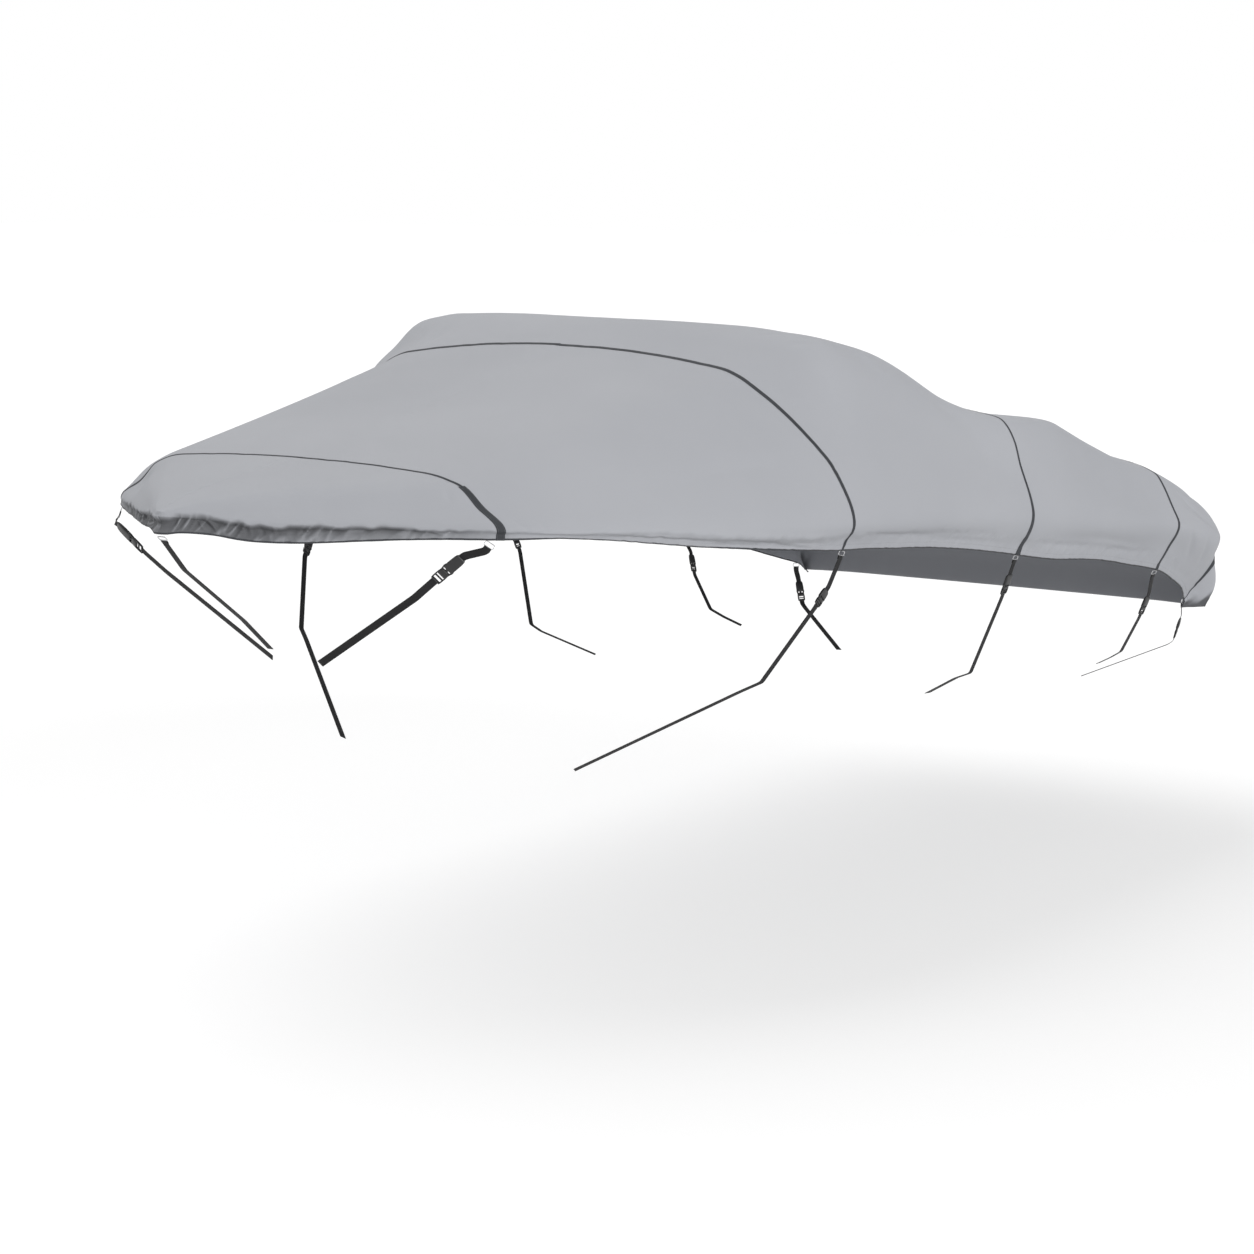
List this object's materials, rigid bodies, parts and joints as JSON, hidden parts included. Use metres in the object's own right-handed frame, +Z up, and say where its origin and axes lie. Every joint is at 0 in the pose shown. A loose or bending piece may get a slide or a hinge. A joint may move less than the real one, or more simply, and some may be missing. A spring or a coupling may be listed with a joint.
{
  "type": "boat cover",
  "caption": "Fitted trailering cover of sewn cloth panels for an open runabout, draped over a windshield, with straps and buckles along its hem.",
  "frame": {"origin": "on the centre plane at the underside of the cloth's crest, where the boat's windshield holds the cover up", "axes": "+Z up, -X towards the bow, +X towards the stern, -Y port, +Y starboard"},
  "size_m": [5.1502, 2.43, 1.5566],
  "materials": {
    "cloth": "coated woven polyester, light bluish grey, matt with a soft sheen",
    "tape": "dark grey seam tape, matt",
    "webbing": "black woven webbing",
    "plastic": "black moulded plastic",
    "steel": "plain steel wire"
  },
  "bodies": {
    "root": {"panel_bow": "cloth", "panel_fore": "cloth", "panel_mid": "cloth", "panel_aft": "cloth", "panel_stern": "cloth", "panel_transom": "cloth", "tape_1": "tape", "tape_2": "tape", "tape_3": "tape", "tape_4": "tape", "tape_transom": "tape", "band_1_port": "tape", "band_1_starboard": "tape", "strap_bow": "webbing", "strap_1_port": "webbing", "strap_1_starboard": "webbing", "strap_2_port": "webbing", "strap_2_starboard": "webbing", "strap_3_port": "webbing", "strap_3_starboard": "webbing", "strap_4_port": "webbing", "strap_4_starboard": "webbing", "strap_5_port": "webbing", "strap_5_starboard": "webbing", "tail_1_port": "webbing", "tail_1_starboard": "webbing", "tail_2_port": "webbing", "tail_2_starboard": "webbing", "tail_3_port": "webbing", "tail_3_starboard": "webbing", "tail_4_port": "webbing", "tail_4_starboard": "webbing", "tail_5_port": "webbing", "tail_5_starboard": "webbing", "buckle_1_port": "plastic", "buckle_1_starboard": "plastic", "buckle_2_port": "plastic", "buckle_2_starboard": "plastic", "buckle_3_port": "plastic", "buckle_3_starboard": "plastic", "buckle_4_port": "plastic", "buckle_4_starboard": "plastic", "buckle_5_port": "plastic", "buckle_5_starboard": "plastic", "ring_bow": "steel", "ring_1_port": "steel", "ring_1_starboard": "steel", "ring_2_port": "steel", "ring_2_starboard": "steel", "ring_3_port": "steel", "ring_3_starboard": "steel", "ring_4_port": "steel", "ring_4_starboard": "steel", "ring_5_port": "steel", "ring_5_starboard": "steel"}
  },
  "joints": []
}
